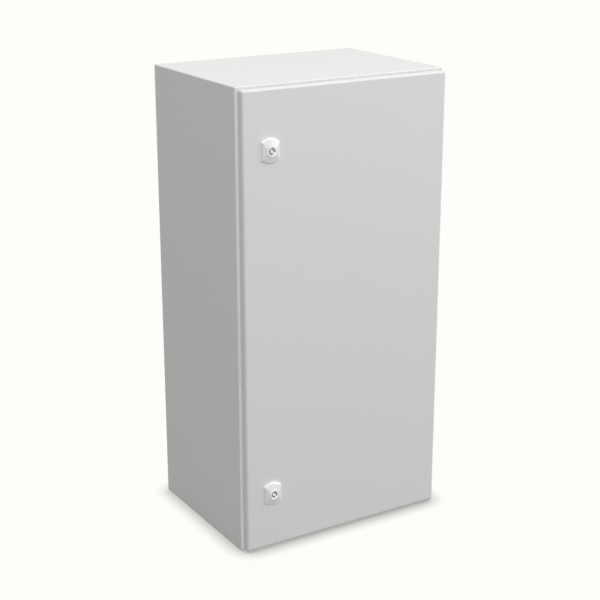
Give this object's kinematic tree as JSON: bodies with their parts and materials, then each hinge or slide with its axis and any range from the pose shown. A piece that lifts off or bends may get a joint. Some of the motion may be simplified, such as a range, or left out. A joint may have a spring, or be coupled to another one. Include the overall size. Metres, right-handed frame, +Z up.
{
  "type": "sheet-steel utility cabinet",
  "caption": "Tall light grey sheet-steel cabinet with an inset hinged door, concealed hinges, quarter-turn locks, rain channel and inner mounting plate.",
  "frame": {"origin": "centre of the footprint of the whole object, on the plane of its base", "axes": "+Z up along the height, -Y out of the door, +X towards the hinge side"},
  "size_m": [0.4, 0.309, 0.8],
  "materials": {
    "cabinet_paint": "light grey powder coat with a fine texture",
    "lock_grey": "light grey, smooth and slightly glossy",
    "lock_insert": "bright plated die casting",
    "galvanised_sheet": "galvanised, faint spangle",
    "zinc_hardware": "bright zinc plated",
    "hinge_casting": "satin zinc die casting",
    "pin_steel": "ground steel",
    "gasket_foam": "foamed polyurethane with a closed skin",
    "flat_seal": "matt black rubber"
  },
  "bodies": {
    "cabinet": {"cabinet_body": "cabinet_paint", "mounting_plate": "galvanised_sheet", "plate_studs": "zinc_hardware", "plate_nuts": "zinc_hardware", "body_earth_stud": "zinc_hardware", "body_earth_nut": "zinc_hardware", "gland_plate": "galvanised_sheet", "gland_seal": "flat_seal", "gland_studs": "zinc_hardware", "gland_nuts": "zinc_hardware", "lower_hinge_bracket": "hinge_casting", "upper_hinge_bracket": "hinge_casting", "bracket_screws": "zinc_hardware"},
    "door": {"door_panel": "cabinet_paint", "door_gasket": "gasket_foam", "lock_side_rail": "galvanised_sheet", "hinge_side_rail": "galvanised_sheet", "lower_hinge_leaf": "hinge_casting", "upper_hinge_leaf": "hinge_casting", "lower_hinge_pin": "pin_steel", "upper_hinge_pin": "pin_steel", "leaf_studs": "zinc_hardware", "leaf_nuts": "zinc_hardware", "door_earth_stud": "zinc_hardware", "door_earth_nut": "zinc_hardware", "lower_lock_housing": "lock_grey", "upper_lock_housing": "lock_grey", "lower_lock_nut": "zinc_hardware", "upper_lock_nut": "zinc_hardware"},
    "lower_lock": {"lower_lock_core": "lock_insert", "lower_lock_cam": "zinc_hardware", "lower_cam_screw": "zinc_hardware"},
    "upper_lock": {"upper_lock_core": "lock_insert", "upper_lock_cam": "zinc_hardware", "upper_cam_screw": "zinc_hardware"}
  },
  "joints": [
    {"name": "door_hinge", "type": "hinge", "parent": "cabinet", "child": "door", "pos_m": [0.19, -0.1392, 0.4], "axis": [0, 0, 1], "range_deg": [0, 130]},
    {"name": "lower_lock_turn", "type": "hinge", "parent": "door", "child": "lower_lock", "pos_m": [-0.1475, -0.1455, 0.104], "axis": [0, 1, 0], "range_deg": [0, 90]},
    {"name": "upper_lock_turn", "type": "hinge", "parent": "door", "child": "upper_lock", "pos_m": [-0.1475, -0.1455, 0.698], "axis": [0, 1, 0], "range_deg": [0, 90]}
  ]
}
